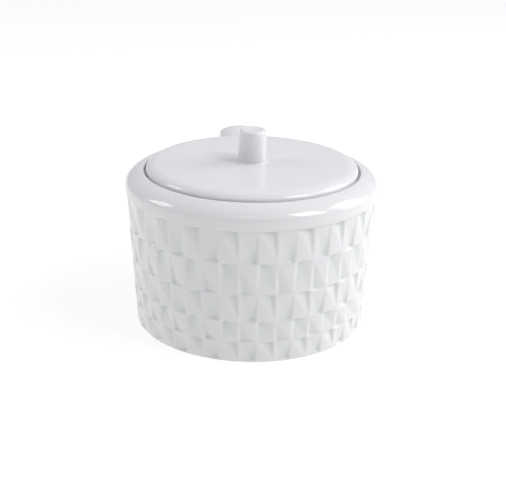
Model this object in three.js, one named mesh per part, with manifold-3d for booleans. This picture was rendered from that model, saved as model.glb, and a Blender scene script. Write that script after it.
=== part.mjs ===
// Porcelain sugar bowl with a faceted wall, one ear handle and a lift-off lid.
// Millimetres, +Z up. The bowl stands on z = 0, the handle points along +Y and
// the origin is the bottom centre of the whole object's bounding box, so the
// bowl's own axis stands a little towards -Y of it.
import * as THREE from 'three';
import { mergeVertices } from 'three/addons/utils/BufferGeometryUtils.js';
import Module from 'manifold-3d';

const wasm = await Module();
wasm.setup();

// ---- driving dimensions -------------------------------------------------
const SHOULDER_RADIUS = 55;        // widest point of the bowl
const SHOULDER_LEVEL = 62.1;       // height of that widest point
const LIP_HEIGHT = 68.2;           // top of the rim
const LIP_BORE = 46.9;             // radius of the recess that the lid drops into
const LIP_ROUND = 0.6;             // round on the rim's inner edge
const SEAT_HEIGHT = 66.2;          // ledge that the lid rests on
const NECK_RADIUS = 43.4;          // inner edge of that ledge
const WALL = 3.4;                  // body thickness
const SHOULDER_FULLNESS = 3.6;     // length of the shoulder curve's upright handle
const LIP_APPROACH = [2.4, -0.35]; // and of its handle at the rim, outwards and down
const NECK_LAND = 3;               // upright run under the ledge's inner edge
const NECK_PULL = 3;               // handle of the inner flare at the ledge
const FLARE_DEPTH = 6;             // how far below the relief's top the flare ends
const FLARE_PULL = 5;              // handle of the inner flare at its lower end
const FLOOR_TOP = 4.6;
const FLOOR_FILLET = 6;

const WALL_FOOT_RADIUS = 51.3;     // outer wall radius at z = 0
const WALL_TOP_RADIUS = 54.8;      // outer wall radius where the shoulder starts
const FOOT_OUTER = 51;
const FOOT_INNER = 47;
const FOOT_RECESS = 1.4;           // depth of the hollow under the floor
const FOOT_SLOPE = 0.8;            // radial run of the hollow's side

const COLUMNS = 44;                // relief cells round the wall, an even number
const ROW_HEIGHTS = [14.3, 13.8, 12, 9.4, 8.9];   // from the shoulder down
const RELIEF_BOTTOM = 0.5;
const RELIEF_TURN = 1.1;           // degrees between a column's middle and -Y
const DIP_DEPTH = 1.3;             // how far each cell's low corner is sunk
const DIP_INSET_ACROSS = 2;        // low corner's distance from the cell's side
const DIP_INSET_TOP = 0.7;         // its distance from the cell's top edge, if it is there
const DIP_INSET_BOTTOM = 0.3;      // and from the bottom edge, if it is there

const LID_RADIUS = 46;
const LID_TOP = 71.1;
const LID_EDGE_LEVEL = 68.2;       // where the lid's rounded edge starts, level with the rim
const LID_EDGE_RUN = 5.5;          // radial run of the rounded edge
const LID_EDGE_PULL = [1.9, 3.4];  // curve handles of the edge: upright and level
const LID_UNDER_ROUND = 0.8;
const LID_CORE = 4;                // plate thickness inside the flange
const FLANGE_OUTER = 42.6;
const FLANGE_WALL = 2.8;
const FLANGE_DEPTH = 6;

const KNOB_RADIUS = 6.4;
const KNOB_HEIGHT = 14.3;
const KNOB_EDGE_ROUND = 1.2;
const KNOB_BASE_FILLET = 0.8;
const KNOB_DISH = 0.6;
const KNOB_DISH_RIM = 1;           // how far in from the edge the dish starts to fall
const KNOB_DISH_FLAT = 2;          // radius of the flat middle of the dish

const HANDLE_REACH = 78.5;         // outermost point, from the bowl's axis
const HANDLE_THICKNESS = 7.6;
const HANDLE_ROOT_TOP = 48;        // level of the upper root
const HANDLE_ROOT_BOTTOM = 19;     // level of the lower root
const HANDLE_CREST = [65, 66];     // radius and height of the centre line's crest
const HANDLE_BELLY = 44;           // height where the centre line reaches furthest out
const HANDLE_WIDTHS = [13, 18.5, 16, 12];   // upper root, crest, belly, lower root
// The centre line's ends, inside the wall, and its curve handles: each pair is
// a step from the point named, in radius and height.
const HANDLE_START = [50, HANDLE_ROOT_TOP - 3];
const HANDLE_RISE = [4.5, 17];     // from the start
const HANDLE_CREST_PULL = [5, 8];  // level, inwards and outwards from the crest
const HANDLE_BELLY_PULL = [9, 13]; // upright, above and below the belly
const HANDLE_END = [48, HANDLE_ROOT_BOTTOM];
const HANDLE_SWEEP = [14, 3];      // from the end
const HANDLE_STEPS = 36;
const HANDLE_SIDES = 20;
const LUTING_GAP = 0.3;            // the glaze fills this joint

const MERGE_DISTANCE = 1e-4;
const SMOOTH_SIDES = 2 * COLUMNS;
const KNOB_SIDES = 48;
const AXIS_Y = -(HANDLE_REACH - SHOULDER_RADIUS) / 2;

const RELIEF_TOP = RELIEF_BOTTOM + ROW_HEIGHTS.reduce((sum, height) => sum + height, 0);

// ---- small helpers ------------------------------------------------------
// A closed body collected vertex by vertex. Triangles run anticlockwise seen
// from outside.
class Body {
  constructor() {
    this.points = [];
    this.faces = [];
  }

  vertex(x, y, z) {
    this.points.push(x, y, z);
    return this.points.length / 3 - 1;
  }

  triangle(a, b, c) {
    this.faces.push(a, b, c);
  }

  // One level ring of vertices, the first one at angle `start`.
  ring(radius, z, count, start = 0) {
    return Array.from({ length: count }, (_, i) => {
      const angle = start + (2 * Math.PI * i) / count;
      return this.vertex(radius * Math.cos(angle), radius * Math.sin(angle), z);
    });
  }

  // Joins two rings of equal count. `next` follows `ring` along the profile.
  band(ring, next) {
    ring.forEach((corner, i) => {
      const j = (i + 1) % ring.length;
      this.triangle(corner, ring[j], next[j]);
      this.triangle(corner, next[j], next[i]);
    });
  }

  // Closes a ring on the single vertex `tip`.
  fan(ring, tip) {
    ring.forEach((corner, i) => this.triangle(corner, ring[(i + 1) % ring.length], tip));
  }

  geometry() {
    const geometry = new THREE.BufferGeometry();
    geometry.setAttribute('position', new THREE.Float32BufferAttribute(this.points, 3));
    geometry.setIndex(this.faces);
    return geometry;
  }
}

// Points on an arc in the profile plane, angles in degrees.
function arc(centreRadius, centreZ, radius, from, to, steps) {
  return Array.from({ length: steps + 1 }, (_, i) => {
    const angle = THREE.MathUtils.degToRad(from + ((to - from) * i) / steps);
    return [centreRadius + radius * Math.cos(angle), centreZ + radius * Math.sin(angle)];
  });
}

// Points on a cubic curve in the profile plane.
function cubic(a, b, c, d, steps) {
  const curve = new THREE.CubicBezierCurve(...[a, b, c, d].map((p) => new THREE.Vector2(...p)));
  return curve.getPoints(steps).map((p) => [p.x, p.y]);
}

// A solid of revolution whose profile starts and ends on the axis and runs
// from the bottom up the outside, which LatheGeometry turns face outwards.
function turned(profile, sides) {
  const lathe = new THREE.LatheGeometry(profile.map(([r, z]) => new THREE.Vector2(r, z)), sides);
  lathe.deleteAttribute('normal');
  lathe.deleteAttribute('uv');
  lathe.rotateX(Math.PI / 2);
  return withoutSlivers(mergeVertices(lathe, MERGE_DISTANCE));
}

// Drops the empty triangles that a lathe leaves where its profile meets the axis.
function withoutSlivers(geometry) {
  const index = geometry.getIndex().array;
  const kept = [];
  for (let i = 0; i < index.length; i += 3) {
    const [a, b, c] = index.slice(i, i + 3);
    if (a !== b && b !== c && c !== a) {
      kept.push(a, b, c);
    }
  }
  geometry.setIndex(kept);
  return geometry;
}

function solid(geometry) {
  return new wasm.Manifold(new wasm.Mesh({
    numProp: 3,
    vertProperties: new Float32Array(geometry.getAttribute('position').array),
    triVerts: new Uint32Array(geometry.getIndex().array),
  }));
}

function fromSolid(manifold) {
  const mesh = manifold.getMesh();
  const geometry = new THREE.BufferGeometry();
  geometry.setAttribute('position', new THREE.BufferAttribute(mesh.vertProperties, 3));
  geometry.setIndex(new THREE.BufferAttribute(mesh.triVerts, 1));
  return geometry;
}

// ---- the bowl -----------------------------------------------------------
function wallRadius(z) {
  return THREE.MathUtils.mapLinear(z, 0, RELIEF_TOP, WALL_FOOT_RADIUS, WALL_TOP_RADIUS);
}

const CELL_ANGLE = (2 * Math.PI) / COLUMNS;
// The first column faces -Y, opposite the handle, apart from the relief's turn.
const FIRST_COLUMN = THREE.MathUtils.degToRad(RELIEF_TURN - 90) - CELL_ANGLE / 2;

// Which corner of a cell is sunk. Seen from outside, the corners run top left,
// bottom left, bottom right, top right, and are numbered 0 to 3 in that order.
function lowCorner(row, column) {
  const evenColumn = column % 2 === 0;
  if (row % 2 === 0) {
    return evenColumn ? 3 : 2;
  }
  return evenColumn ? 0 : 1;
}

// The sunk point belonging to a cell's low corner: set in from both edges of
// the cell and pushed towards the axis.
function sunkPoint(body, row, column, levels, corner) {
  const left = corner < 2;
  const top = corner === 0 || corner === 3;
  const edgeZ = top ? levels[row] : levels[row + 1];
  const z = edgeZ + (top ? -DIP_INSET_TOP : DIP_INSET_BOTTOM);
  const radius = wallRadius(z) - DIP_DEPTH;
  const side = FIRST_COLUMN + CELL_ANGLE * (left ? column : column + 1);
  const angle = side + ((left ? 1 : -1) * DIP_INSET_ACROSS) / radius;
  return body.vertex(radius * Math.cos(angle), radius * Math.sin(angle), z);
}

// One cell: two steep step faces beside the sunk point, and two broad facets
// that meet along the line from the top left to the bottom right corner.
function addCell(body, corners, corner, low) {
  const before = corners[(corner + 3) % 4];
  const opposite = corners[(corner + 2) % 4];
  const after = corners[(corner + 1) % 4];
  body.triangle(before, corners[corner], low);
  body.triangle(corners[corner], after, low);
  const creaseEndsAtLow = corner % 2 === 0;
  if (creaseEndsAtLow) {
    body.triangle(low, after, opposite);
    body.triangle(low, opposite, before);
  } else {
    body.triangle(low, after, before);
    body.triangle(after, opposite, before);
  }
}

// The faceted wall. Returns its top and bottom rings.
function addRelief(body) {
  const levels = [RELIEF_TOP];
  ROW_HEIGHTS.forEach((height) => levels.push(levels[levels.length - 1] - height));
  const rings = levels.map((z) => body.ring(wallRadius(z), z, COLUMNS, FIRST_COLUMN));
  for (let row = 0; row < ROW_HEIGHTS.length; row += 1) {
    for (let column = 0; column < COLUMNS; column += 1) {
      const next = (column + 1) % COLUMNS;
      const corners = [
        rings[row][column],
        rings[row + 1][column],
        rings[row + 1][next],
        rings[row][next],
      ];
      const corner = lowCorner(row, column);
      addCell(body, corners, corner, sunkPoint(body, row, column, levels, corner));
    }
  }
  return [rings[0], rings[rings.length - 1]];
}

// Joins a relief ring to a smooth ring with twice as many vertices, whose
// vertex 0 stands at the relief ring's vertex 0.
function stitch(body, coarse, fine, finerIsAbove) {
  const add = (a, b, c) => (finerIsAbove ? body.triangle(a, b, c) : body.triangle(a, c, b));
  coarse.forEach((corner, i) => {
    const next = coarse[(i + 1) % coarse.length];
    const middle = fine[2 * i + 1];
    add(corner, middle, fine[2 * i]);
    add(corner, next, middle);
    add(next, fine[(2 * i + 2) % fine.length], middle);
  });
}

// From the relief up over the shoulder, down into the lid's recess and along
// the inside to the floor.
function upperProfile() {
  const lipCrest = LIP_BORE + LIP_ROUND;
  const [outwards, down] = LIP_APPROACH;
  const shoulder = cubic(
    [SHOULDER_RADIUS, SHOULDER_LEVEL],
    [SHOULDER_RADIUS, SHOULDER_LEVEL + SHOULDER_FULLNESS],
    [lipCrest + outwards, LIP_HEIGHT + down],
    [lipCrest, LIP_HEIGHT],
    7,
  );
  const lipEdge = arc(lipCrest, LIP_HEIGHT - LIP_ROUND, LIP_ROUND, 90, 180, 2);
  const flareTop = SEAT_HEIGHT - NECK_LAND;
  const flareEnd = RELIEF_TOP - FLARE_DEPTH;
  const innerTop = wallRadius(flareEnd) - WALL;
  const flare = cubic(
    [NECK_RADIUS, flareTop],
    [NECK_RADIUS, flareTop - NECK_PULL],
    [innerTop, flareEnd + FLARE_PULL],
    [innerTop, flareEnd],
    5,
  );
  const filletZ = FLOOR_TOP + FLOOR_FILLET;
  const filletRadius = wallRadius(filletZ) - WALL - FLOOR_FILLET;
  const fillet = arc(filletRadius, filletZ, FLOOR_FILLET, 0, -90, 4);
  return [
    ...shoulder,
    ...lipEdge.slice(1),
    [LIP_BORE, SEAT_HEIGHT],
    [NECK_RADIUS, SEAT_HEIGHT],
    ...flare,
    ...fillet,
  ];
}

function bowlGeometry() {
  const body = new Body();
  const [reliefTop, reliefBottom] = addRelief(body);
  const upper = upperProfile().map(([r, z]) => body.ring(r, z, SMOOTH_SIDES, FIRST_COLUMN));
  stitch(body, reliefTop, upper[0], true);
  for (let i = 1; i < upper.length; i += 1) {
    body.band(upper[i - 1], upper[i]);
  }
  body.fan(upper[upper.length - 1], body.vertex(0, 0, FLOOR_TOP));

  const under = [
    [FOOT_OUTER, 0],
    [FOOT_INNER, 0],
    [FOOT_INNER - FOOT_SLOPE, FOOT_RECESS],
  ].map(([r, z]) => body.ring(r, z, SMOOTH_SIDES, FIRST_COLUMN));
  stitch(body, reliefBottom, under[0], false);
  for (let i = 1; i < under.length; i += 1) {
    body.band(under[i], under[i - 1]);
  }
  const hollowCentre = body.vertex(0, 0, FOOT_RECESS);
  body.fan([...under[under.length - 1]].reverse(), hollowCentre);
  return body.geometry();
}

// ---- the handle ---------------------------------------------------------
// Centre line in the handle's own plane, x = radius from the bowl's axis and
// y = height. Both ends run into the wall and are trimmed there.
function handleLine() {
  const reach = HANDLE_REACH - HANDLE_THICKNESS / 2;
  const [crestRadius, crestZ] = HANDLE_CREST;
  const [startRadius, startZ] = HANDLE_START;
  const [endRadius, endZ] = HANDLE_END;
  const [crestIn, crestOut] = HANDLE_CREST_PULL;
  const [bellyUp, bellyDown] = HANDLE_BELLY_PULL;
  const crest = [crestRadius, crestZ];
  const belly = [reach, HANDLE_BELLY];
  const line = new THREE.CurvePath();
  const add = (...points) => {
    line.add(new THREE.CubicBezierCurve(...points.map((p) => new THREE.Vector2(...p))));
  };
  add(
    HANDLE_START,
    [startRadius + HANDLE_RISE[0], startZ + HANDLE_RISE[1]],
    [crestRadius - crestIn, crestZ],
    crest,
  );
  add(crest, [crestRadius + crestOut, crestZ], [reach, HANDLE_BELLY + bellyUp], belly);
  add(
    belly,
    [reach, HANDLE_BELLY - bellyDown],
    [endRadius + HANDLE_SWEEP[0], endZ + HANDLE_SWEEP[1]],
    HANDLE_END,
  );
  return line;
}

// Strap width along the centre line, eased from one stated width to the next.
function handleWidth(along) {
  const place = along * (HANDLE_WIDTHS.length - 1);
  const i = Math.min(Math.floor(place), HANDLE_WIDTHS.length - 2);
  const ease = THREE.MathUtils.smoothstep(place, i, i + 1);
  return THREE.MathUtils.lerp(HANDLE_WIDTHS[i], HANDLE_WIDTHS[i + 1], ease);
}

function handleGeometry() {
  const line = handleLine();
  const body = new Body();
  const rings = Array.from({ length: HANDLE_STEPS + 1 }, (_, i) => {
    const along = i / HANDLE_STEPS;
    const centre = line.getPointAt(along);
    const tangent = line.getTangentAt(along);
    const half = handleWidth(along) / 2;
    return Array.from({ length: HANDLE_SIDES }, (__, k) => {
      const angle = (2 * Math.PI * k) / HANDLE_SIDES;
      const out = (HANDLE_THICKNESS / 2) * Math.sin(angle);
      return body.vertex(
        half * Math.cos(angle),
        centre.x + tangent.y * out,
        centre.y - tangent.x * out,
      );
    });
  });
  for (let i = 1; i < rings.length; i += 1) {
    body.band(rings[i - 1], rings[i]);
  }
  const first = line.getPointAt(0);
  const last = line.getPointAt(1);
  body.fan(rings[HANDLE_STEPS], body.vertex(0, last.x, last.y));
  body.fan([...rings[0]].reverse(), body.vertex(0, first.x, first.y));

  const trim = turned([
    [0, 0],
    [WALL_FOOT_RADIUS + LUTING_GAP, 0],
    [WALL_TOP_RADIUS + LUTING_GAP, RELIEF_TOP],
    [SHOULDER_RADIUS + LUTING_GAP, RELIEF_TOP + LUTING_GAP],
    [SHOULDER_RADIUS + LUTING_GAP, LIP_HEIGHT],
    [0, LIP_HEIGHT],
  ], SMOOTH_SIDES);
  return fromSolid(solid(body.geometry()).subtract(solid(trim)));
}

// ---- the lid ------------------------------------------------------------
function lidGeometry() {
  const underCore = LID_TOP - LID_CORE;
  const flangeInner = FLANGE_OUTER - FLANGE_WALL;
  const tip = FLANGE_WALL / 2;
  const tipZ = SEAT_HEIGHT - FLANGE_DEPTH + tip;
  const [upright, level] = LID_EDGE_PULL;
  const edge = cubic(
    [LID_RADIUS, LID_EDGE_LEVEL],
    [LID_RADIUS, LID_EDGE_LEVEL + upright],
    [LID_RADIUS - LID_EDGE_RUN + level, LID_TOP],
    [LID_RADIUS - LID_EDGE_RUN, LID_TOP],
    7,
  );
  return turned([
    [0, underCore],
    [flangeInner, underCore],
    ...arc(flangeInner + tip, tipZ, tip, 180, 360, 6),
    [FLANGE_OUTER, SEAT_HEIGHT],
    ...arc(LID_RADIUS - LID_UNDER_ROUND, SEAT_HEIGHT + LID_UNDER_ROUND, LID_UNDER_ROUND, -90, 0, 3),
    ...edge,
    [0, LID_TOP],
  ], SMOOTH_SIDES);
}

function knobGeometry() {
  const top = LID_TOP + KNOB_HEIGHT;
  const edge = KNOB_RADIUS - KNOB_EDGE_ROUND;
  const fillet = KNOB_BASE_FILLET;
  const dishZ = top - KNOB_DISH;
  const dish = cubic([edge, top], [edge - KNOB_DISH_RIM, top], [KNOB_DISH_FLAT, dishZ], [0, dishZ], 4);
  return turned([
    [0, LID_TOP],
    ...arc(KNOB_RADIUS + fillet, LID_TOP + fillet, fillet, 270, 180, 3),
    ...arc(edge, top - KNOB_EDGE_ROUND, KNOB_EDGE_ROUND, 0, 90, 4),
    ...dish.slice(1),
  ], KNOB_SIDES);
}

// ---- assembly -----------------------------------------------------------
const glaze = { color: 0xf3f4f6, roughness: 0.12, metalness: 0 };

function piece(name, geometry) {
  const mesh = new THREE.Mesh(geometry, new THREE.MeshStandardMaterial(glaze));
  geometry.computeVertexNormals();
  mesh.name = name;
  return mesh;
}

const lid = new THREE.Group();
lid.add(piece('lid_plate', lidGeometry()), piece('lid_knob', knobGeometry()));

const bowl = new THREE.Group();
bowl.add(piece('bowl_body', bowlGeometry()), piece('handle', handleGeometry()));

const sugarBowl = new THREE.Group();
sugarBowl.add(bowl, lid);
sugarBowl.position.y = AXIS_Y;

export default sugarBowl;
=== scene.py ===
"""Looks of a white porcelain sugar bowl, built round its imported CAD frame.

Every visible piece is a fine mesh made here: the faceted wall as a glaze-softened
height field, the rest as smooth turned or swept forms. Metres, +Z up.
"""

import math

import bpy
import numpy as np
from mathutils import Matrix, Vector


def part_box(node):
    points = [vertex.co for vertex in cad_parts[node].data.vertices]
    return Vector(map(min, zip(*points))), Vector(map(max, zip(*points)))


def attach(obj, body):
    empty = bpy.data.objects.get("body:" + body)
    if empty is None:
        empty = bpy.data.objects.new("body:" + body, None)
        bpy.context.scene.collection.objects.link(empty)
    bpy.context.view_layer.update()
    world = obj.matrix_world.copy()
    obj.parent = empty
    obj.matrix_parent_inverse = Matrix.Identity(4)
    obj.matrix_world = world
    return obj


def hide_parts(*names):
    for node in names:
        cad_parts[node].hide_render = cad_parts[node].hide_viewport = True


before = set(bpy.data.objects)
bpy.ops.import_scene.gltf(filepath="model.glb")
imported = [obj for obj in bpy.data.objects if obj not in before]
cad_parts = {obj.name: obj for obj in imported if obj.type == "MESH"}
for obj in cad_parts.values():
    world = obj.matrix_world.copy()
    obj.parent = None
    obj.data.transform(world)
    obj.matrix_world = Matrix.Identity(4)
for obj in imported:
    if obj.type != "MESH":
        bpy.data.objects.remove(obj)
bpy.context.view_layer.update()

MM = 0.001

# ---- sizes from the frame -------------------------------------------------------
body_low, body_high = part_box("bowl_body")
lid_low, lid_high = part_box("lid_plate")
knob_low, knob_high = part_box("lid_knob")
handle_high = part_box("handle")[1]

AXIS = Vector(((lid_low.x + lid_high.x) / 2, (lid_low.y + lid_high.y) / 2, 0))
LIP_HEIGHT = body_high.z
SHOULDER_RADIUS = (body_high.x - body_low.x) / 2
LID_RADIUS = (lid_high.x - lid_low.x) / 2
LID_TOP = lid_high.z
KNOB_TOP = knob_high.z
KNOB_FOOT_RADIUS = (knob_high.x - knob_low.x) / 2
HANDLE_REACH = handle_high.y - AXIS.y

# ---- the bowl's shell -----------------------------------------------------------
SHOULDER_LEVEL = 62.1 * MM
SHOULDER_LEAN = 0.04 * MM            # how much narrower it is at the crease
SHOULDER_FULLNESS = 3.6 * MM         # length of the shoulder curve's upright handle
LIP_APPROACH = (2.4 * MM, 0.35 * MM)   # and of its handle at the lip, outwards and down
LIP_BORE = 46.9 * MM
LIP_ROUND = 0.6 * MM
SEAT_HEIGHT = 66.2 * MM              # ledge that the lid rests on
SEAT_ROUND = 0.4 * MM
NECK_RADIUS = 43.4 * MM              # inner edge of that ledge
NECK_LAND = 3 * MM                   # upright run below the ledge
NECK_PULL = 3 * MM                   # handle of the inner flare at the neck
FLARE_DEPTH = 6 * MM                 # how far below the crease the flare ends
FLARE_PULL = 5 * MM                  # handle of the inner flare at its lower end
WALL = 3.4 * MM
FLOOR_TOP = 4.6 * MM
FLOOR_FILLET = 6 * MM
WALL_FOOT_RADIUS = 51.3 * MM
WALL_TOP_RADIUS = 54.8 * MM
FOOT_OUTER = 51 * MM
FOOT_INNER = 47 * MM
FOOT_ROUND = 0.5 * MM
FOOT_SLOPE = 0.8 * MM                # radial run of the side of the hollow under the floor
FOOT_RECESS = 1.4 * MM               # depth of that hollow
FOOT_RECESS_ROUND = 0.6 * MM
FOOT_RECESS_MARGIN = 1 * MM          # from the hollow's side to the last ring of its flat
UNDERSIDE_RINGS = (5 * MM, 20 * MM)

# ---- its relief -----------------------------------------------------------------
COLUMNS = 44
ROW_HEIGHTS = [h * MM for h in (14.3, 13.8, 12, 9.4, 8.9)]   # from the shoulder down
RELIEF_BOTTOM = 0.5 * MM
RELIEF_TOP = RELIEF_BOTTOM + sum(ROW_HEIGHTS)
RELIEF_TURN = 1.1                    # degrees from the front to a column's middle
TOP_LEFT, BOTTOM_LEFT, BOTTOM_RIGHT, TOP_RIGHT = range(4)
DIP_DEPTH = 1.35 * MM                # how far each cell's low corner is sunk
DIP_INSET_ACROSS = 1.7 * MM          # its distance from the cell's side
DIP_INSET_TOP = 0.35 * MM            # and from the cell's top edge, if it is there
DIP_INSET_BOTTOM = 0.55 * MM         # or from the bottom edge
BOTTOM_DIP_SHARE = 0.85              # depth of the bottom corners against the top ones
WALL_SET_BACK = 0.3 * MM             # how far the wall is set in, so that the shoulder overhangs it
CREASE_ROUND = 0.3 * MM
STEPS_PER_COLUMN = 16
RELIEF_STEP = 0.3 * MM               # height between two rings of points
GLAZE_SOFTENING = 0.33 * MM          # spread of the blur that rounds the relief
ROUNDING = 1e-9                      # slack for points that lie on an edge

# ---- the lid and its knob -------------------------------------------------------
LID_EDGE_LEVEL = 68.2 * MM           # where the lid's rounded edge starts
LID_EDGE_RUN = 5.5 * MM              # radial run of that edge
LID_EDGE_PULL = (1.3 * MM, 3.8 * MM)   # its curve handles: upright and level
LID_UNDER_ROUND = 0.8 * MM
LID_UNDER_CORNER = 1 * MM            # round between the flange and the plate
LID_CORE = 4 * MM                    # plate thickness inside the flange
LID_UNDER_RING = 20 * MM
FLANGE_OUTER = 42.6 * MM
FLANGE_WALL = 2.8 * MM
FLANGE_DEPTH = 6 * MM
FLANGE_FILLET = 0.4 * MM
MIDDLE_RING = 2 * MM                 # innermost ring of the bowl's floor and of the lid
LID_SIDES = 256

KNOB_EDGE_ROUND = 1.2 * MM
KNOB_BASE_FILLET = 0.9 * MM
KNOB_TAPER = 0.5 * MM                # how much narrower it is at the top, in radius
KNOB_BITE = 0.3 * MM                 # how far its foot is sunk in the lid
KNOB_FOOT_RING = 1 * MM
KNOB_DISH = 0.6 * MM
KNOB_DISH_RIM = 1 * MM               # how far in from the edge the dish starts to fall
KNOB_DISH_FLAT = 2 * MM              # radius where it levels out
KNOB_DISH_RING = 0.3 * MM
KNOB_SIDES = 128

# ---- the handle -----------------------------------------------------------------
HANDLE_THICKNESS = 7.6 * MM
HANDLE_WIDTHS = [w * MM for w in (13, 18.5, 16, 12)]   # upper root, crest, belly, lower root
# Places on the centre line, as radius and height, and its curve handles, each of
# them a step from its own place.
HANDLE_START = (50 * MM, 45 * MM)
HANDLE_RISE = (4.5 * MM, 17 * MM)
HANDLE_CREST = (65 * MM, 66 * MM)
HANDLE_CREST_PULL = (5 * MM, 8 * MM)   # level, inwards and outwards
HANDLE_BELLY = 44 * MM               # height where it reaches furthest out
HANDLE_BELLY_PULL = (9 * MM, 13 * MM)   # upright, above and below
HANDLE_END = (48 * MM, 19 * MM)
HANDLE_SWEEP = (14 * MM, 3 * MM)
HANDLE_STEPS = 120
HANDLE_SIDES = 48
ROOT_FLARE = 0.35                    # how much wider the strap is at the wall
ROOT_FLARE_LENGTH = 3.5 * MM
ROOT_TAPER_LENGTH = 6 * MM           # how fast it thins again inside the wall
ROOT_BITE = 2 * MM                   # and how deep inside it may go

# ---- glaze and clay, with noise scales per metre --------------------------------
BODY_WHITE = (0.755, 0.755, 0.765)
LID_WHITE = (0.765, 0.76, 0.78)
POOLED_WHITE = (0.69, 0.71, 0.71)
MOTTLE_SCALE = 38.0
MOTTLE_SHADE = 0.965                 # darker patches as a share of the lighter ones
RIPPLE_SCALE = 95.0
RIPPLE_STRENGTH = 0.10
RIPPLE_HEIGHT = 0.6 * MM
SHEEN_SCALE = 240.0
GLAZE_ROUGHNESS = (0.09, 0.17)
GLAZE_IOR = 1.52
DEPTH_SHARE = 0.12                   # share of the light that scatters under the surface
DEPTH_LENGTH = 1.5 * MM              # how far it goes
DEPTH_REACH = (1.0, 0.9, 0.8)        # shares of that length for red, green and blue
BARE_LEVELS = (0.12 * MM, 0.3 * MM)   # the glaze starts between these heights
CLAY_COLOURS = ((0.78, 0.75, 0.70), (0.62, 0.59, 0.54))
CLAY_SCALE = 900.0
CLAY_ROUGHNESS = 0.85
MIX_SOCKETS = {"RGBA": (6, 7, 2), "FLOAT": (2, 3, 0)}   # a Mix node's A, B and result

# ---- the view, angles in degrees ------------------------------------------------
VIEW_AZIMUTH = -6.2
VIEW_ELEVATION = 21.1
VIEW_DISTANCE = 0.4536
AIM_HEIGHT = 33.5 * MM
AIM_RIGHT = 0.124
AIM_UP = -0.112
VIEW_ROLL = 1.12
FOCAL_LENGTH_MM = 72.2
SENSOR_WIDTH_MM = 36

# ---- the room -------------------------------------------------------------------
ROOM_BRIGHT_AZIMUTH = 185
ROOM_BRIGHT_ELEVATION = 20
ROOM_BRIGHT = 0.6
ROOM_DIM = 0.24
ROOM_COLOUR = (0.95, 0.97, 1.0)
BACKDROP = 1.1                       # the room's brightness as the camera sees it
FLOOR_HALF_SIDE = 4.0
FLOOR_LEVEL = -0.05 * MM
FLOOR_GREY = 0.30
FLOOR_ROUGHNESS = 0.9
FLOOR_GLOW = 0.74                    # light of its own, which keeps it pale


# ---- mesh helpers ---------------------------------------------------------------
def arc(radius, height, size, start, end, steps):
    """Points (radius, height) on an arc of the given size, angles in degrees."""
    angles = np.radians(np.linspace(start, end, steps + 1))
    return [(radius + size * math.cos(a), height + size * math.sin(a)) for a in angles]


def cubic(a, b, c, d, steps):
    """Points on a cubic Bezier curve."""
    t = np.linspace(0, 1, steps + 1)[:, None]
    a, b, c, d = (np.array(p, float) for p in (a, b, c, d))
    points = (1 - t) ** 3 * a + 3 * (1 - t) ** 2 * t * b + 3 * (1 - t) * t * t * c + t ** 3 * d
    return [tuple(p) for p in points]


def straight(a, b, steps):
    """Points on a straight line, without its first one."""
    t = np.linspace(0, 1, steps + 1)[1:, None]
    return [tuple(p) for p in np.array(a, float) * (1 - t) + np.array(b, float) * t]


def turned_rings(profile, sides, start=0.0):
    """One ring of points for each profile point, as an array (rings, sides, 3)."""
    angles = start + np.linspace(0, 2 * math.pi, sides, endpoint=False)
    profile = np.array(profile, float)
    x = AXIS.x + profile[:, :1] * np.cos(angles)
    y = AXIS.y + profile[:, :1] * np.sin(angles)
    z = np.repeat(profile[:, 1:], sides, axis=1)
    return np.stack([x, y, z], axis=-1)


def skin(name, rings, first_tip, last_tip):
    """A closed smooth mesh over rings of points, with a tip vertex at each end."""
    count, sides = rings.shape[:2]
    vertices = [tuple(p) for p in rings.reshape(-1, 3)]
    vertices += [tuple(first_tip), tuple(last_tip)]
    faces = []
    for i in range(count - 1):
        row = i * sides
        for j in range(sides):
            k = (j + 1) % sides
            faces.append((row + j, row + k, row + sides + k, row + sides + j))
    last_row = (count - 1) * sides
    first = count * sides
    last = first + 1
    for j in range(sides):
        k = (j + 1) % sides
        faces.append((k, j, first))
        faces.append((last_row + j, last_row + k, last))
    mesh = bpy.data.meshes.new(name)
    mesh.from_pydata(vertices, [], faces)
    mesh.validate()
    mesh.polygons.foreach_set("use_smooth", [True] * len(mesh.polygons))
    piece = bpy.data.objects.new(name, mesh)
    bpy.context.scene.collection.objects.link(piece)
    return piece


def on_axis(height):
    """The point of the bowl's axis at a height."""
    return (AXIS.x, AXIS.y, height)


# ---- the faceted wall -----------------------------------------------------------
def wall_radius(z):
    """The wall's outer radius at a height, before it is set back and the relief is cut."""
    return WALL_FOOT_RADIUS + (WALL_TOP_RADIUS - WALL_FOOT_RADIUS) * z / RELIEF_TOP


def low_corner(row, column):
    """The sunk corner. Rows take turns at right and left, columns at top and bottom."""
    even = column % 2 == 0
    if row % 2 == 0:
        return TOP_RIGHT if even else BOTTOM_RIGHT
    return TOP_LEFT if even else BOTTOM_LEFT


def share_of_third(u, v, a, b, c):
    """Barycentric share of c at (u, v), or 0 outside triangle a, b, c."""
    area = (b[0] - a[0]) * (c[1] - a[1]) - (b[1] - a[1]) * (c[0] - a[0])
    at_c = ((b[0] - a[0]) * (v - a[1]) - (b[1] - a[1]) * (u - a[0])) / area
    at_b = ((u - a[0]) * (c[1] - a[1]) - (v - a[1]) * (c[0] - a[0])) / area
    inside = (at_c >= -ROUNDING) & (at_b >= -ROUNDING) & (at_b + at_c <= 1 + ROUNDING)
    return np.where(inside, at_c, 0)


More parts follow.
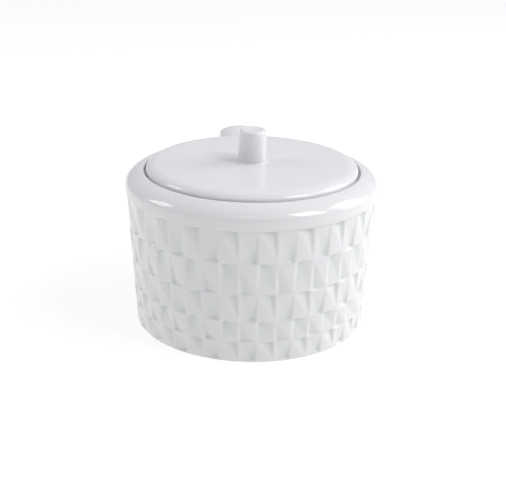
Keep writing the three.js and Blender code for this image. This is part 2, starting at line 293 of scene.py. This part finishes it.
def cell_depth(u, v, width, height, corner):
    """How deep a cell is at distance u from its left and v from its top, 0 to 1.

    A top left or bottom right corner has facets over the whole cell. Those of
    the other two stop at the cell's diagonal.
    """
    corners = [(0, 0), (0, height), (width, height), (width, 0)]
    left = corner in (TOP_LEFT, BOTTOM_LEFT)
    top = corner in (TOP_LEFT, TOP_RIGHT)
    low = (
        DIP_INSET_ACROSS if left else width - DIP_INSET_ACROSS,
        DIP_INSET_TOP if top else height - DIP_INSET_BOTTOM,
    )
    before, here, after, opposite = (corners[(corner + step) % 4] for step in (-1, 0, 1, 2))
    facets = [(before, here), (here, after)]
    if corner in (TOP_LEFT, BOTTOM_RIGHT):
        facets += [(after, opposite), (opposite, before)]
    else:
        facets += [(after, before)]
    depth = np.max([share_of_third(u, v, a, b, low) for a, b in facets], axis=0)
    return depth if top else depth * BOTTOM_DIP_SHARE


def soften(field, sigma, axis, wrap):
    """Gaussian blur along one axis; sigma in samples."""
    reach = int(math.ceil(3 * sigma))
    offsets = np.arange(-reach, reach + 1)
    weights = np.exp(-0.5 * (offsets / sigma) ** 2)
    weights /= weights.sum()
    result = np.zeros_like(field)
    for offset, weight in zip(offsets, weights):
        if wrap:
            result += weight * np.roll(field, offset, axis=axis)
        else:
            index = np.clip(np.arange(field.shape[axis]) + offset, 0, field.shape[axis] - 1)
            result += weight * np.take(field, index, axis=axis)
    return result


def relief_field():
    """Heights from the bottom up, and the softened depth at each height and angle."""
    levels = RELIEF_TOP - np.cumsum([0] + ROW_HEIGHTS)
    count = int(round((RELIEF_TOP - RELIEF_BOTTOM) / RELIEF_STEP))
    heights = np.linspace(RELIEF_BOTTOM, RELIEF_TOP, count + 1)
    width = 2 * math.pi * wall_radius(RELIEF_TOP / 2) / COLUMNS
    across = np.arange(STEPS_PER_COLUMN) * width / STEPS_PER_COLUMN
    depth = np.zeros((len(heights), COLUMNS * STEPS_PER_COLUMN))
    for row, row_height in enumerate(ROW_HEIGHTS):
        inside = (heights <= levels[row] + ROUNDING) & (heights > levels[row + 1] + ROUNDING)
        rows = np.nonzero(inside)[0]
        u, v = np.meshgrid(across, levels[row] - heights[rows])
        for column in range(COLUMNS):
            first = column * STEPS_PER_COLUMN
            steps = np.arange(first, first + STEPS_PER_COLUMN)
            cell = cell_depth(u, v, width, row_height, low_corner(row, column))
            depth[rows[:, None], steps[None]] = cell
    depth = soften(depth, GLAZE_SOFTENING / (width / STEPS_PER_COLUMN), 1, True)
    depth = soften(depth, GLAZE_SOFTENING / RELIEF_STEP, 0, False)
    return heights, depth


# ---- the bowl -------------------------------------------------------------------
def under_profile():
    """From the middle of the underside out over the foot ring to the relief."""
    side = FOOT_INNER - FOOT_SLOPE
    hollow = [*UNDERSIDE_RINGS, side - FOOT_RECESS_MARGIN]
    corner = (side - FOOT_RECESS_ROUND, FOOT_RECESS - FOOT_RECESS_ROUND)
    inner = FOOT_INNER + FOOT_ROUND
    outer = FOOT_OUTER - FOOT_ROUND
    return (
        [(radius, FOOT_RECESS) for radius in hollow]
        + arc(*corner, FOOT_RECESS_ROUND, 90, 30, steps=3)
        + arc(inner, FOOT_ROUND, FOOT_ROUND, 210, 270, steps=4)
        + straight((inner, 0), (outer, 0), steps=3)
        + arc(outer, FOOT_ROUND, FOOT_ROUND, 270, 345, steps=5)[1:]
    )


def shoulder_profile():
    """From the crease over the shoulder and the lip to the lid's ledge and the neck."""
    crease = SHOULDER_RADIUS - SHOULDER_LEAN
    crease_top = RELIEF_TOP + CREASE_ROUND
    crest = LIP_BORE + LIP_ROUND
    outwards, down = LIP_APPROACH
    return (
        arc(crease - CREASE_ROUND, crease_top, CREASE_ROUND, -90, 0, steps=5)
        + straight((crease, crease_top), (SHOULDER_RADIUS, SHOULDER_LEVEL), steps=5)
        + cubic(
            (SHOULDER_RADIUS, SHOULDER_LEVEL),
            (SHOULDER_RADIUS, SHOULDER_LEVEL + SHOULDER_FULLNESS),
            (crest + outwards, LIP_HEIGHT - down),
            (crest, LIP_HEIGHT),
            steps=22,
        )[1:]
        + arc(crest, LIP_HEIGHT - LIP_ROUND, LIP_ROUND, 90, 180, steps=6)[1:]
        + arc(LIP_BORE - SEAT_ROUND, SEAT_HEIGHT + SEAT_ROUND, SEAT_ROUND, 0, -90, steps=4)
        + arc(NECK_RADIUS + SEAT_ROUND, SEAT_HEIGHT - SEAT_ROUND, SEAT_ROUND, 90, 180, steps=4)
    )


def inside_profile():
    """From the neck down the inside of the wall and in over the floor."""
    flare_top = SEAT_HEIGHT - NECK_LAND
    flare_end = RELIEF_TOP - FLARE_DEPTH
    inner_top = wall_radius(flare_end) - WALL
    fillet_height = FLOOR_TOP + FLOOR_FILLET
    inner_low = wall_radius(fillet_height) - WALL
    fillet_radius = inner_low - FLOOR_FILLET
    return (
        cubic(
            (NECK_RADIUS, flare_top),
            (NECK_RADIUS, flare_top - NECK_PULL),
            (inner_top, flare_end + FLARE_PULL),
            (inner_top, flare_end),
            steps=14,
        )
        + straight((inner_top, flare_end), (inner_low, fillet_height), steps=6)
        + arc(fillet_radius, fillet_height, FLOOR_FILLET, 0, -90, steps=10)[1:]
        + straight((fillet_radius, FLOOR_TOP), (MIDDLE_RING, FLOOR_TOP), steps=3)
    )


def make_bowl():
    """The shell, and where the glaze pools on it as the attribute glaze_pool."""
    sides = COLUMNS * STEPS_PER_COLUMN
    start = math.radians(RELIEF_TURN - 90) - math.pi / COLUMNS
    heights, depth = relief_field()
    wall = turned_rings([(wall_radius(z) - WALL_SET_BACK, z) for z in heights], sides, start)
    outward = wall - np.array(on_axis(0))
    outward[..., 2] = 0
    outward /= np.linalg.norm(outward, axis=-1, keepdims=True)
    wall -= outward * depth[..., None] * DIP_DEPTH
    under = turned_rings(under_profile(), sides, start)
    upper = turned_rings(shoulder_profile() + inside_profile(), sides, start)
    rings = np.concatenate([under, wall, upper])
    bowl = skin("glazed_bowl", rings, on_axis(FOOT_RECESS), on_axis(FLOOR_TOP))
    pool = np.zeros(rings.shape[:2])
    pool[len(under):len(under) + len(wall)] = depth
    layer = bowl.data.attributes.new("glaze_pool", "FLOAT", "POINT")
    layer.data.foreach_set("value", np.append(pool.ravel(), [0.0, 0.0]))
    return bowl


# ---- the handle -----------------------------------------------------------------
def step_from(place, step):
    """The point that lies a step outwards and up from a place."""
    return (place[0] + step[0], place[1] + step[1])


def handle_line():
    """The strap's centre line as radius and height, from the upper root to the lower."""
    belly = (HANDLE_REACH - HANDLE_THICKNESS / 2, HANDLE_BELLY)
    inwards, outwards = HANDLE_CREST_PULL
    above, below = HANDLE_BELLY_PULL
    points = cubic(
        HANDLE_START,
        step_from(HANDLE_START, HANDLE_RISE),
        step_from(HANDLE_CREST, (-inwards, 0)),
        HANDLE_CREST,
        steps=30,
    )
    points += cubic(
        HANDLE_CREST,
        step_from(HANDLE_CREST, (outwards, 0)),
        step_from(belly, (0, above)),
        belly,
        steps=40,
    )[1:]
    points += cubic(
        belly,
        step_from(belly, (0, -below)),
        step_from(HANDLE_END, HANDLE_SWEEP),
        HANDLE_END,
        steps=50,
    )[1:]
    return np.array(points)


def even_spacing(points, count):
    """The same line with its points at equal distances."""
    along = np.append(0, np.cumsum(np.linalg.norm(np.diff(points, axis=0), axis=1)))
    places = np.linspace(0, along[-1], count)
    return np.stack([np.interp(places, along, points[:, k]) for k in (0, 1)], axis=-1)


def handle_widths():
    """The strap's width at each step, eased between the widths that are given."""
    widths = np.array(HANDLE_WIDTHS)
    place = np.linspace(0, len(widths) - 1, HANDLE_STEPS)
    index = np.clip(place.astype(int), 0, len(widths) - 2)
    ease = place - index
    ease = ease * ease * (3 - 2 * ease)
    return widths[index] * (1 - ease) + widths[index + 1] * ease


def root_flare(line):
    """The strap's swelling: widest at the wall, and thinner again inside it."""
    off_wall = line[:, 0] - wall_radius(line[:, 1])
    outside = 1 + ROOT_FLARE * np.exp(-((off_wall / ROOT_FLARE_LENGTH) ** 2))
    buried = 1 + ROOT_FLARE + off_wall / ROOT_TAPER_LENGTH
    return np.where(off_wall > 0, outside, buried)


def make_handle():
    """An oval strap along the centre line, kept out of the bowl's inside."""
    line = even_spacing(handle_line(), HANDLE_STEPS)
    tangent = np.gradient(line, axis=0)
    tangent /= np.linalg.norm(tangent, axis=1, keepdims=True)
    flare = root_flare(line)
    angles = np.linspace(0, 2 * math.pi, HANDLE_SIDES, endpoint=False)
    across = np.cos(angles) * (handle_widths() * flare)[:, None] / 2
    out = np.sin(angles) * (HANDLE_THICKNESS * flare)[:, None] / 2
    x = AXIS.x + across
    y = AXIS.y + line[:, :1] + tangent[:, 1:] * out
    z = line[:, 1:] - tangent[:, :1] * out
    rings = np.stack([x, y, z], axis=-1)
    sideways = rings[..., :2] - np.array([AXIS.x, AXIS.y])
    radius = np.linalg.norm(sideways, axis=-1)
    held = np.maximum(radius, wall_radius(rings[..., 2]) - ROOT_BITE)
    rings[..., :2] += sideways * (held / radius - 1)[..., None]
    return skin("glazed_handle", rings, rings[0].mean(axis=0), rings[-1].mean(axis=0))


# ---- the lid --------------------------------------------------------------------
def lid_under_profile():
    """From the middle of the underside over the flange to the lid's outer edge."""
    under = LID_TOP - LID_CORE
    flange_inner = FLANGE_OUTER - FLANGE_WALL
    corner = (flange_inner - LID_UNDER_CORNER, under - LID_UNDER_CORNER)
    tip = FLANGE_WALL / 2
    tip_height = SEAT_HEIGHT - FLANGE_DEPTH + tip
    fillet = (FLANGE_OUTER + FLANGE_FILLET, SEAT_HEIGHT - FLANGE_FILLET)
    edge = LID_RADIUS - LID_UNDER_ROUND
    return (
        [(MIDDLE_RING, under), (LID_UNDER_RING, under)]
        + arc(*corner, LID_UNDER_CORNER, 90, 0, steps=5)
        + arc(flange_inner + tip, tip_height, tip, 180, 360, steps=12)
        + arc(*fillet, FLANGE_FILLET, 180, 90, steps=4)
        + arc(edge, SEAT_HEIGHT + LID_UNDER_ROUND, LID_UNDER_ROUND, -90, 0, steps=6)
    )


def lid_top_profile():
    """From the lid's outer edge up over its rounded rim to the middle of the top."""
    upright, level = LID_EDGE_PULL
    flat_radius = LID_RADIUS - LID_EDGE_RUN
    return (
        cubic(
            (LID_RADIUS, LID_EDGE_LEVEL),
            (LID_RADIUS, LID_EDGE_LEVEL + upright),
            (flat_radius + level, LID_TOP),
            (flat_radius, LID_TOP),
            steps=24,
        )
        + straight((flat_radius, LID_TOP), (MIDDLE_RING, LID_TOP), steps=20)
    )


def make_lid():
    """The lid without its knob, as one turned form."""
    rings = turned_rings(lid_under_profile() + lid_top_profile(), LID_SIDES)
    return skin("glazed_lid", rings, on_axis(LID_TOP - LID_CORE), on_axis(LID_TOP))


def make_knob():
    """The knob, with its foot sunk a little in the lid."""
    radius = KNOB_FOOT_RADIUS - KNOB_BASE_FILLET
    top_radius = radius - KNOB_TAPER
    edge = top_radius - KNOB_EDGE_ROUND
    foot = LID_TOP - KNOB_BITE
    fillet_top = LID_TOP + KNOB_BASE_FILLET
    edge_height = KNOB_TOP - KNOB_EDGE_ROUND
    dish = KNOB_TOP - KNOB_DISH
    profile = (
        [(KNOB_FOOT_RING, foot), (KNOB_FOOT_RADIUS, foot)]
        + arc(KNOB_FOOT_RADIUS, fillet_top, KNOB_BASE_FILLET, 270, 180, steps=8)
        + straight((radius, fillet_top), (top_radius, edge_height), steps=8)
        + arc(edge, edge_height, KNOB_EDGE_ROUND, 0, 90, steps=10)[1:]
        + cubic(
            (edge, KNOB_TOP),
            (edge - KNOB_DISH_RIM, KNOB_TOP),
            (KNOB_DISH_FLAT, dish),
            (KNOB_DISH_RING, dish),
            steps=14,
        )[1:]
    )
    return skin("glazed_knob", turned_rings(profile, KNOB_SIDES), on_axis(foot), on_axis(dish))


# ---- materials ------------------------------------------------------------------
def add_node(tree, kind, **values):
    """A new node. Each value goes to the input of that name, or else to the property."""
    node = tree.nodes.new(kind)
    for name, value in values.items():
        if name in node.inputs:
            node.inputs[name].default_value = value
        else:
            setattr(node, name, value)
    return node


def add_mix(tree, kind, factor, a, b):
    """Mixes a and b, each of them a socket or a plain value, and returns the result."""
    node = add_node(tree, "ShaderNodeMix", data_type=kind)
    place_a, place_b, place_result = MIX_SOCKETS[kind]
    tree.links.new(factor, node.inputs[0])
    for place, value in ((place_a, a), (place_b, b)):
        if isinstance(value, bpy.types.NodeSocket):
            tree.links.new(value, node.inputs[place])
        else:
            node.inputs[place].default_value = value
    return node.outputs[place_result]


def add_noise(tree, place, scale, detail, roughness=0.5):
    """The value of a noise at the object's own coordinates."""
    noise = add_node(tree, "ShaderNodeTexNoise", Scale=scale, Detail=detail, Roughness=roughness)
    tree.links.new(place, noise.inputs["Vector"])
    return noise.outputs["Fac"]


def add_range(tree, value, low, high):
    """Spreads a value from 0 to 1 between low and high."""
    spread = add_node(tree, "ShaderNodeMapRange")
    spread.inputs["To Min"].default_value = low
    spread.inputs["To Max"].default_value = high
    tree.links.new(value, spread.inputs["Value"])
    return spread.outputs["Result"]


def add_bare_foot(tree, place, colour, roughness):
    """The foot ring's face is wiped clean of glaze, down to the fired clay."""
    split = add_node(tree, "ShaderNodeSeparateXYZ")
    tree.links.new(place, split.inputs[0])
    bare = add_node(tree, "ShaderNodeMapRange")
    bare.inputs["From Min"].default_value = BARE_LEVELS[0]
    bare.inputs["From Max"].default_value = BARE_LEVELS[1]
    bare.inputs["To Min"].default_value = 1.0
    bare.inputs["To Max"].default_value = 0.0
    tree.links.new(split.outputs["Z"], bare.inputs["Value"])
    grain = add_noise(tree, place, CLAY_SCALE, detail=4.0)
    light, dark = CLAY_COLOURS
    clay = add_mix(tree, "RGBA", grain, (*light, 1), (*dark, 1))
    share = bare.outputs["Result"]
    return (
        add_mix(tree, "RGBA", share, colour, clay),
        add_mix(tree, "FLOAT", share, roughness, CLAY_ROUGHNESS),
    )


def glaze_material(name, white, bare_foot):
    """Clear glaze over white porcelain: faint mottling, glaze that is a little
    greener where it pools, and a softly uneven surface."""
    material = bpy.data.materials.new(name)
    material.use_nodes = True
    tree = material.node_tree
    link = tree.links.new
    shader = tree.nodes["Principled BSDF"]
    place = add_node(tree, "ShaderNodeTexCoord").outputs["Object"]

    mottle = add_noise(tree, place, MOTTLE_SCALE, detail=3.0)
    shaded = [c * MOTTLE_SHADE for c in white]
    tone = add_mix(tree, "RGBA", mottle, (*white, 1), (*shaded, 1))
    pool = add_node(tree, "ShaderNodeAttribute", attribute_name="glaze_pool")
    colour = add_mix(tree, "RGBA", pool.outputs["Fac"], tone, (*POOLED_WHITE, 1))

    ripple = add_noise(tree, place, RIPPLE_SCALE, detail=2.0, roughness=0.4)
    bump = add_node(tree, "ShaderNodeBump", Strength=RIPPLE_STRENGTH, Distance=RIPPLE_HEIGHT)
    link(ripple, bump.inputs["Height"])
    link(bump.outputs["Normal"], shader.inputs["Normal"])

    sheen = add_noise(tree, place, SHEEN_SCALE, detail=2.0)
    roughness = add_range(tree, sheen, *GLAZE_ROUGHNESS)
    if bare_foot:
        colour, roughness = add_bare_foot(tree, place, colour, roughness)
    link(colour, shader.inputs["Base Color"])
    link(roughness, shader.inputs["Roughness"])
    shader.inputs["IOR"].default_value = GLAZE_IOR
    shader.inputs["Subsurface Weight"].default_value = DEPTH_SHARE
    shader.inputs["Subsurface Radius"].default_value = DEPTH_REACH
    shader.inputs["Subsurface Scale"].default_value = DEPTH_LENGTH
    return material


# ---- stage, lights and camera ---------------------------------------------------
def make_floor():
    """A plain pale floor just under the foot."""
    half = FLOOR_HALF_SIDE
    square = ((-half, -half), (half, -half), (half, half), (-half, half))
    mesh = bpy.data.meshes.new("floor")
    mesh.from_pydata([(x, y, FLOOR_LEVEL) for x, y in square], [], [(0, 1, 2, 3)])
    floor = bpy.data.objects.new("floor", mesh)
    bpy.context.scene.collection.objects.link(floor)
    material = bpy.data.materials.new("floor_white")
    material.use_nodes = True
    shader = material.node_tree.nodes["Principled BSDF"]
    shader.inputs["Base Color"].default_value = (FLOOR_GREY, FLOOR_GREY, FLOOR_GREY, 1)
    shader.inputs["Roughness"].default_value = FLOOR_ROUGHNESS
    shader.inputs["Emission Color"].default_value = (1, 1, 1, 1)
    shader.inputs["Emission Strength"].default_value = FLOOR_GLOW
    mesh.materials.append(material)


def toward(azimuth, elevation):
    """Unit vector from the bowl; azimuth is measured anticlockwise, seen from
    above, from the camera's side."""
    turn = math.radians(azimuth + VIEW_AZIMUTH)
    rise = math.radians(elevation)
    return Vector((math.sin(turn) * math.cos(rise), -math.cos(turn) * math.cos(rise), math.sin(rise)))


def add_light(name, azimuth, elevation, distance, size, power):
    """A rectangular light that faces the bowl."""
    data = bpy.data.lights.new(name, "AREA")
    data.shape = "RECTANGLE"
    data.size, data.size_y = size
    data.energy = power
    light = bpy.data.objects.new(name, data)
    target = Vector(on_axis(AIM_HEIGHT))
    light.location = target + toward(azimuth, elevation) * distance
    light.rotation_euler = (target - light.location).to_track_quat("-Z", "Y").to_euler()
    bpy.context.scene.collection.objects.link(light)


def make_window(name, azimuth, elevation, distance, pane, bar, power):
    """Two panes by two, with the dark bars of the window between them."""
    shrink = math.cos(math.radians(elevation))
    for i, across in enumerate((-1, 1)):
        for j, up in enumerate((-1, 1)):
            turn = math.degrees(across * (pane[0] + bar) / 2 / distance)
            rise = math.degrees(up * (pane[1] + bar) / 2 / distance)
            add_light(f"{name}_{i}{j}", azimuth + turn / shrink, elevation + rise, distance, pane, power)


def make_lights():
    """Daylight from windows on both sides, with soft light from above and in front."""
    make_window("window_right", 62, 46, distance=1.1, pane=(0.17, 0.24), bar=0.03, power=1.05)
    make_window("window_far", 105, 28, distance=1.1, pane=(0.25, 0.35), bar=0.03, power=1.15)
    make_window("window_left", -96, 33, distance=1.3, pane=(0.16, 0.24), bar=0.02, power=0.75)
    add_light("ceiling", 130, 55, distance=1.2, size=(1.0, 0.8), power=0.45)
    add_light("front_sky", 0, 50, distance=1.5, size=(1.2, 0.6), power=2.4)


def make_world():
    """White where the camera sees it. As light it is dimmer, and dimmest on the camera's side."""
    world = bpy.data.worlds.new("room")
    bpy.context.scene.world = world
    world.use_nodes = True
    tree = world.node_tree
    link = tree.links.new
    place = add_node(tree, "ShaderNodeTexCoord")
    lean = add_node(tree, "ShaderNodeVectorMath", operation="DOT_PRODUCT")
    lean.inputs[1].default_value = toward(ROOM_BRIGHT_AZIMUTH, ROOM_BRIGHT_ELEVATION)
    link(place.outputs["Generated"], lean.inputs[0])
    fade = add_node(tree, "ShaderNodeMapRange", interpolation_type="SMOOTHSTEP")
    fade.inputs["From Min"].default_value = -1.0
    fade.inputs["From Max"].default_value = 1.0
    fade.inputs["To Min"].default_value = ROOM_DIM
    fade.inputs["To Max"].default_value = ROOM_BRIGHT
    link(lean.outputs["Value"], fade.inputs["Value"])
    path = add_node(tree, "ShaderNodeLightPath")
    strength = add_mix(tree, "FLOAT", path.outputs["Is Camera Ray"], fade.outputs["Result"], BACKDROP)
    background = tree.nodes["Background"]
    background.inputs["Color"].default_value = (*ROOM_COLOUR, 1)
    link(strength, background.inputs["Strength"])


def level_frame(ahead):
    """The right and up directions of a level camera that looks ahead."""
    right = ahead.cross(Vector((0, 0, 1))).normalized()
    return right, right.cross(ahead)


def aim_camera():
    """Looks at the bowl's middle, then turns a little right and down, and rolls."""
    target = Vector(on_axis(AIM_HEIGHT))
    place = target + toward(0, VIEW_ELEVATION) * VIEW_DISTANCE
    ahead = (target - place).normalized()
    right, up = level_frame(ahead)
    ahead = ahead + math.tan(math.radians(AIM_RIGHT)) * right + math.tan(math.radians(AIM_UP)) * up
    ahead.normalize()
    right, up = level_frame(ahead)
    roll = math.radians(VIEW_ROLL)
    side = right * math.cos(roll) + up * math.sin(roll)
    top = up * math.cos(roll) - right * math.sin(roll)
    data = bpy.data.cameras.new("camera")
    data.lens = FOCAL_LENGTH_MM
    data.sensor_width = SENSOR_WIDTH_MM
    camera = bpy.data.objects.new("camera", data)
    camera.matrix_world = Matrix((
        (side.x, top.x, -ahead.x, place.x),
        (side.y, top.y, -ahead.y, place.y),
        (side.z, top.z, -ahead.z, place.z),
        (0, 0, 0, 1),
    ))
    bpy.context.scene.collection.objects.link(camera)
    bpy.context.scene.camera = camera


# ---- put together ---------------------------------------------------------------
def dress(piece, body, node, material):
    """Gives a piece its material and its body, and hides the CAD node that it stands for."""
    piece.data.materials.append(material)
    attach(piece, body)
    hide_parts(node)


body_glaze = glaze_material("body_glaze", BODY_WHITE, bare_foot=True)
lid_glaze = glaze_material("lid_glaze", LID_WHITE, bare_foot=False)
dress(make_bowl(), "bowl", "bowl_body", body_glaze)
dress(make_handle(), "bowl", "handle", body_glaze)
dress(make_lid(), "lid", "lid_plate", lid_glaze)
dress(make_knob(), "lid", "lid_knob", lid_glaze)
make_floor()
make_world()
make_lights()
aim_camera()
bpy.context.scene.view_settings.view_transform = "Standard"
